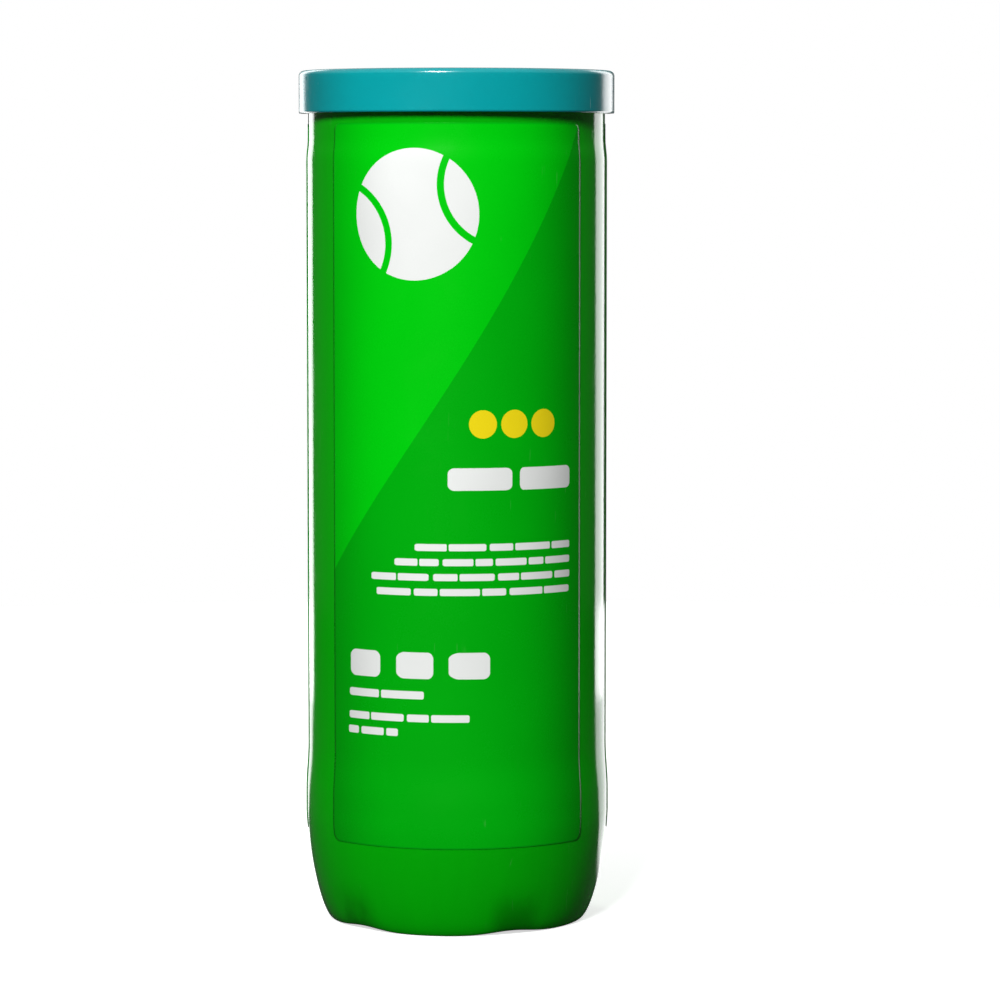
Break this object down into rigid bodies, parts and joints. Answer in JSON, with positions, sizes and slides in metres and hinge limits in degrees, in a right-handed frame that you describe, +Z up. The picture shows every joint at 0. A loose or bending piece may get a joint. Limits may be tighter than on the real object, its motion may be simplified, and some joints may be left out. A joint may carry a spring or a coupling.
{
  "type": "tennis ball can",
  "caption": "Upright green plastic can for tennis balls, with a seamed metal pull-tab end, a teal press-on lid and stacked felt balls inside.",
  "frame": {"origin": "centre of the standing ring, on the plane that the can stands on", "axes": "+Z up along the can's axis; the front label faces -Y"},
  "size_m": [0.0778, 0.0778, 0.21],
  "materials": {
    "green_pet": "clear blown plastic with a green tint",
    "front_print": "printed film, two tones of green",
    "rear_print": "printed film",
    "end_metal": "lacquered sheet",
    "tab_metal": "bright stamped sheet",
    "compound": "sealing compound",
    "lid_plastic": "satin teal",
    "felt": "optic yellow wool and nylon felt",
    "seam_rubber": "off-white vulcanised rubber",
    "core_rubber": "moulded rubber"
  },
  "bodies": {
    "can": {"can_body": "green_pet", "front_label": "front_print", "rear_label": "rear_print", "end_ring": "end_metal", "seam_compound": "compound"},
    "ball_lower": {"ball_lower_core_a": "core_rubber", "ball_lower_core_b": "core_rubber", "ball_lower_felt_a": "felt", "ball_lower_felt_b": "felt", "ball_lower_seam": "seam_rubber"},
    "ball_middle": {"ball_middle_core_a": "core_rubber", "ball_middle_core_b": "core_rubber", "ball_middle_felt_a": "felt", "ball_middle_felt_b": "felt", "ball_middle_seam": "seam_rubber"},
    "ball_upper": {"ball_upper_core_a": "core_rubber", "ball_upper_core_b": "core_rubber", "ball_upper_felt_a": "felt", "ball_upper_felt_b": "felt", "ball_upper_seam": "seam_rubber"},
    "panel": {"end_panel": "end_metal", "tab_tongue": "tab_metal"},
    "lid": {"lid": "lid_plastic"},
    "tab": {"pull_tab": "tab_metal"}
  },
  "joints": [
    {"name": "ball_lower_lift", "type": "slide", "parent": "can", "child": "ball_lower", "axis": [0, 0, 1], "range_m": [0, 0.206]},
    {"name": "ball_middle_lift", "type": "slide", "parent": "ball_lower", "child": "ball_middle", "axis": [0, 0, 1], "range_m": [0, 0.14]},
    {"name": "ball_upper_lift", "type": "slide", "parent": "ball_middle", "child": "ball_upper", "axis": [0, 0, 1], "range_m": [0, 0.074]},
    {"name": "panel_lift", "type": "slide", "parent": "ball_upper", "child": "panel", "axis": [0, 0, 1], "range_m": [0, 0.03]},
    {"name": "lid_lift", "type": "slide", "parent": "panel", "child": "lid", "axis": [0, 0, 1], "range_m": [0, 0.05]},
    {"name": "tab_hinge", "type": "hinge", "parent": "panel", "child": "tab", "pos_m": [0, -0.033, 0.20475], "axis": [1, 0, 0], "range_deg": [0, 75]}
  ],
  "couplings": [
    {"joint": "tab_hinge", "follows": "lid_lift", "rad_per_m": 26.1}
  ]
}
